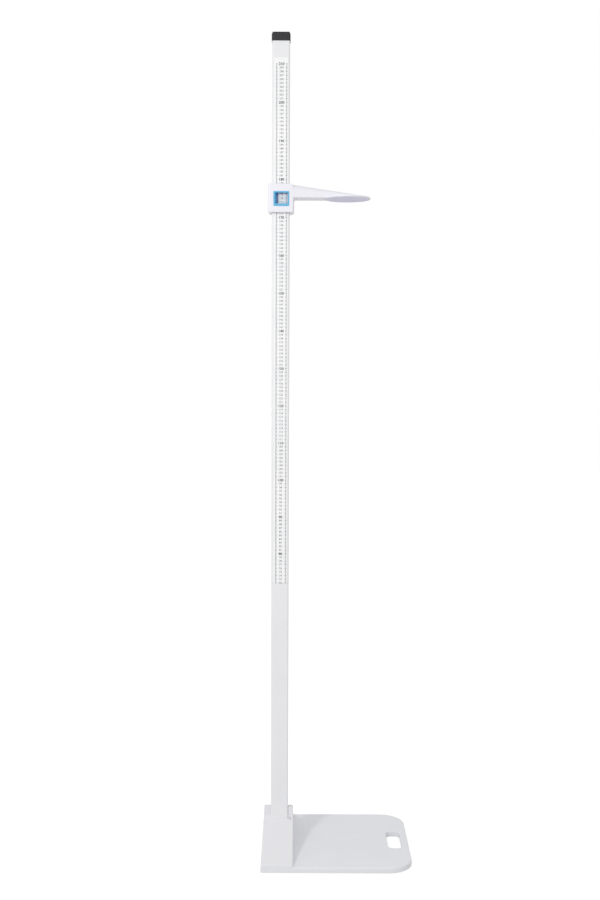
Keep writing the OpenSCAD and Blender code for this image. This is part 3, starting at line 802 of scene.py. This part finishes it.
def slide_shell():
    """Housing, wedge arm and head rim as one moulding, open towards the back cover."""
    shell = housing_block("slide_housing")
    halve(shell, (0, PARTING * MM, 0), (0, 1, 0), clear_outer=True, use_fill=True)
    rim = drum("rim", slide_point(PLATE_REACH, 0, 0), 62 * MM, 4 * MM, 120)
    bevel(rim, rim_edges(facing("z", 1)), 1.6 * MM, 4)
    bevel(rim, rim_edges(facing("z", -1)), 0.5 * MM, 2)
    weld(shell, arm(), rim)

    root_fillet = block("fillet", slide_point(35, -26, -4), slide_point(39.5, 26, 0.5))
    roll = drum("roll", slide_point(39.5, -40, -4), 4 * MM, 80 * MM, 48, None,
                (math.radians(-90), 0, 0))
    cut(root_fillet, roll)
    weld(shell, root_fillet)

    cavity = block("cavity", slide_point(-30.5, -30, -35), slide_point(32.5, 40, 34))
    bevel(cavity, lambda e: runs_along(e, "z") and middle(e).y < 0, 3 * MM, 4)
    guide = block("guide", slide_point(-25.5, -19, -50), slide_point(25.5, 19, 50))
    bevel(guide, lambda e: runs_along(e, "z"), 5.5 * MM, 6)
    window = block("window", slide_point(-16.8, -40, -19.5), slide_point(20.2, -25, 14.5))
    recess = drum("recess", slide_point(PLATE_REACH, 0, -5), 59 * MM, 7.4 * MM, 120)
    ledge = block("ledge", slide_point(40.5, -27.5, -5), slide_point(PLATE_REACH, 27.5, 2))
    keep_rim = drum("keep_rim", slide_point(PLATE_REACH, 0, -6), 61.5 * MM, 20 * MM, 120)
    cut(ledge, keep_rim)
    cut(shell, cavity, guide, window, recess, ledge)
    clean(shell)
    shade(shell)
    return dress(shell, "slider", SLIDE_WHITE, ["slider_shell"])


def slide_back():
    """Rear cover of the housing, with four screw recesses."""
    back = housing_block("slide_cover")
    halve(back, (0, (PARTING + 0.15) * MM, 0), (0, 1, 0), clear_inner=True, use_fill=True)
    bevel(back, rim_edges(facing("y", -1)), 0.4 * MM, 2)
    hollow = block("hollow", slide_point(-30.5, 20, -35), slide_point(32.5, 30, 34))

    def rods(name, start, radius, length, sides):
        return [drum(name, slide_point(x, start, z), radius * MM, length * MM, sides, None,
                     (math.radians(-90), 0, 0)) for x, z in post_spots()]
    sinks = rods("sink", 30.4, 3, 8, 32)
    holes = rods("hole", 20, 1.6, 20, 24)
    cut(hollow, *rods("post", 27.3, 3.3, 6, 24))
    cut(back, hollow, *sinks, *holes)
    clean(back)
    shade(back)
    return dress(back, "slider", SLIDE_WHITE, ["slider_back"])


def tapered(name, front, rear, y_front, y_rear, grow):
    """A block whose front and rear outlines differ, each [[x0, z0], [x1, z1]] in mm."""
    piece = block(name, slide_point(front[0][0] - grow, y_front, front[0][1] - grow),
                  slide_point(front[1][0] + grow, y_rear, front[1][1] + grow))
    spans = [(front[1][i] - front[0][i] + 2 * grow, rear[1][i] - rear[0][i] + 2 * grow)
             for i in (0, 1)]
    centres = [((front[1][i] + front[0][i]) / 2, (rear[1][i] + rear[0][i]) / 2) for i in (0, 1)]
    in_edit(piece, "FACE", facing("y", 1), bpy.ops.transform.resize,
            value=(spans[0][1] / spans[0][0], 1, spans[1][1] / spans[1][0]),
            center_override=slide_point(centres[0][0], y_rear, centres[1][0]))
    in_edit(piece, "FACE", facing("y", 1), bpy.ops.transform.translate,
            value=((centres[0][1] - centres[0][0]) * MM, 0, (centres[1][1] - centres[1][0]) * MM))
    return piece


def window_bezel():
    """Blue frame of the reading window: a lip, a sight funnel and a pointer."""
    front = [(-14.4, -15.4), (19.0, 13.0)]
    rear = [(-7.3, -14.0), (18.8, 13.0)]
    face, proud, y_rear = -33.0, 0.9, -18.6
    bezel = block("bezel", slide_point(-19.3, face - proud, -22), slide_point(22.7, face + 0.2, 17))
    bevel(bezel, lambda e: runs_along(e, "y"), 2.5 * MM, 5)
    bevel(bezel, rim_edges(facing("y", -1)), 0.6 * MM, 3)
    plug = block("plug", slide_point(-16.6, face, -19.3), slide_point(20.0, face + 3, 14.3))
    bevel(plug, lambda e: runs_along(e, "y"), 2 * MM, 4)
    throat = tapered("throat", front, rear, face + 2.9, y_rear, 1.0)
    weld(bezel, plug, throat)
    span = y_rear - face

    def at(depth):
        share = (depth - face) / span
        return [tuple(f + (r - f) * share for f, r in zip(*pair)) for pair in zip(front, rear)]
    cut(bezel, tapered("sight", at(face - 2), at(y_rear + 2), face - 2, y_rear + 2, 0))
    bevel(bezel, lambda e: rim_edges(facing("y", -1))(e)
          and -16 < (middle(e).x - COLUMN_X) / MM < 20
          and near(middle(e).y, (face - proud) * MM), 0.5 * MM, 2)
    tip = drum("pointer", slide_point(18.5, face - proud, 0), 2.5 * MM, 1.2 * MM, 3, None,
               (math.radians(-90), math.radians(90), 0))
    clean(bezel)
    shade(bezel)
    join("bezel", [bezel, tip])
    return dress(bezel, "slider", BEZEL_BLUE, ["window_bezel"])


def head_plate():
    """Dished disc under the rim, with a rounded edge."""
    low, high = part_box("head_plate")
    radius = (high.x - low.x) / 2
    centre = Vector(((low.x + high.x) / 2, 0, low.z))
    disc = drum("head_disc", centre, radius, high.z - low.z, 128)
    bevel(disc, rim_edges(facing("z", -1)), 0.5 * MM, 3)
    dish, rings = 1.2 * MM, 7
    inner = radius - 0.5 * MM
    for ring in range(1, rings + 1):
        share = 1 - (ring - 1) / rings
        step = inner / rings
        sink = dish * ((1 - (share - 1 / rings) ** 2) - (1 - share ** 2))
        if ring < rings:
            in_edit(disc, "FACE", lambda f: f.normal.z < -0.999 and len(f.verts) > 20,
                    bpy.ops.mesh.inset, thickness=step, depth=0)
            in_edit(disc, "FACE", lambda f: f.normal.z < -0.999 and len(f.verts) > 20,
                    bpy.ops.transform.translate, value=(0, 0, sink))
    clean(disc)
    shade(disc)
    return dress(disc, "slider", PLATE_LILAC_PAINTED_SHADE, ["head_plate"])


# ---- CAD nodes that keep their own shape ----

KEPT = {
    "socket_sleeve": MILL_ALUMINIUM, "foot_screws": SCREW_WHITE, "base_screws": ZINC_PLATE,
    "joiner_lower": MILL_ALUMINIUM, "joiner_upper": MILL_ALUMINIUM, "joiner_screws": ZINC_PLATE,
    "scale_middle": SCALE_FILM, "scale_upper": SCALE_FILM, "arm_base": SLIDE_WHITE,
    "glide_upper": NYLON, "glide_lower": NYLON, "brake_spring": SPRING_STEEL,
    "brake_pad": PAD_RUBBER, "slider_screws": ZINC_PLATE,
}


def paint_kept_nodes():
    for name, paint in KEPT.items():
        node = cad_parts[name]
        for slot in node.material_slots:
            slot.material = paint


# ---- Floor, light and camera ----

WORLD_LEVEL = 0.7
LAMPS = [
    # name, place, the point it shines at, size, power
    ("key", (-1.65, -2.5, 2.0), (-0.15, 0, 1.1), 0.45, 29),
    ("fill", (0.1, -3.3, 2.3), (-0.15, 0, 1.3), 1.2, 5),
]
# The floor's reflectance as the light meets it, and as it is seen, with a glow that makes it white
FLOOR_TONE, FLOOR_SEEN, FLOOR_GLOW = 0.72, 0.5, 0.67


def stage_floor():
    """Pale floor that keeps a soft shadow and otherwise runs into the white background."""
    deselect_all()
    bpy.ops.mesh.primitive_plane_add(size=60, location=(0, 0, 0))
    floor = settle(bpy.context.object, "floor")
    paint = Paint("studio_floor", Roughness=0.95, Specular_IOR_Level=0.0, Emission_Strength=1.0)
    seen = paint.node("ShaderNodeLightPath", output="Is Camera Ray")
    for ray in ("Is Glossy Ray", "Is Transmission Ray"):
        other = paint.node("ShaderNodeLightPath", output=ray)
        seen = paint.node("ShaderNodeMath", {"operation": "MAXIMUM"}, {0: seen, 1: other})
    fine = paint.noise(4 * MM, 2.0)
    tint = seen * (FLOOR_SEEN - FLOOR_TONE) + FLOOR_TONE
    glow = seen * (fine * 0.005 + FLOOR_GLOW)
    for socket, value in (("Base Color", tint), ("Emission Color", glow)):
        grey = paint.node("ShaderNodeCombineColor", None, {0: value, 1: value, 2: value})
        paint.set(socket, grey)
    # From below the floor is clear, so that the underside of the platform shows
    paint.set("Alpha", 1.0 - paint.node("ShaderNodeNewGeometry", output="Backfacing"))
    floor.data.materials.append(paint.material)


def studio():
    """White surroundings, dimmer as a light than as a background, and soft lamps at head height."""
    world = bpy.data.worlds.new("studio")
    bpy.context.scene.world = world
    world.use_nodes = True
    tree = world.node_tree
    back = tree.nodes["Background"]
    back.inputs["Color"].default_value = (1, 1, 1, 1)
    path = tree.nodes.new("ShaderNodeLightPath")
    seen = path.outputs["Is Camera Ray"]
    for kind in ("Is Glossy Ray", "Is Transmission Ray"):
        either = tree.nodes.new("ShaderNodeMath")
        either.operation = "MAXIMUM"
        tree.links.new(seen, either.inputs[0])
        tree.links.new(path.outputs[kind], either.inputs[1])
        seen = either.outputs[0]
    level = tree.nodes.new("ShaderNodeMapRange")
    level.inputs["To Min"].default_value = WORLD_LEVEL
    level.inputs["To Max"].default_value = 1.0
    tree.links.new(seen, level.inputs["Value"])
    tree.links.new(level.outputs[0], back.inputs["Strength"])
    for name, place, aim, size, power in LAMPS:
        light = bpy.data.lights.new(name, "AREA")
        light.shape = "DISK"
        light.size = size
        light.energy = power
        lamp = bpy.data.objects.new(name, light)
        bpy.context.collection.objects.link(lamp)
        lamp.location = place
        toward = Vector(aim) - Vector(place)
        lamp.rotation_euler = toward.to_track_quat("-Z", "Y").to_euler()


def camera():
    """The photograph's view: from in front, level with the waist, tilted down four degrees."""
    data = bpy.data.cameras.new("view")
    image_h, focal_px, axis_row = 900, 1175.8, 439.9
    data.sensor_width = 36
    data.lens = data.sensor_width * focal_px / image_h
    data.shift_y = (axis_row - image_h / 2) / image_h
    eye = bpy.data.objects.new("view", data)
    bpy.context.collection.objects.link(eye)
    tilt, roll = math.radians(90 - 3.98), math.radians(0.205)
    place = Vector((COLUMN_X + 53.3 * MM, -3.169, DECK + 1.328))
    eye.matrix_world = (Matrix.Translation(place) @ Matrix.Rotation(tilt, 4, "X")
                        @ Matrix.Rotation(roll, 4, "Z"))
    bpy.context.scene.camera = eye


platform()
rubber_feet()
column_foot()
for column_node in ("column_lower", "column_middle", "column_upper"):
    column_piece(column_node)
top_cap()
printed_scale()
slide_shell()
slide_back()
window_bezel()
head_plate()
paint_kept_nodes()
stage_floor()
studio()
camera()
bpy.context.scene.view_settings.view_transform = "Standard"
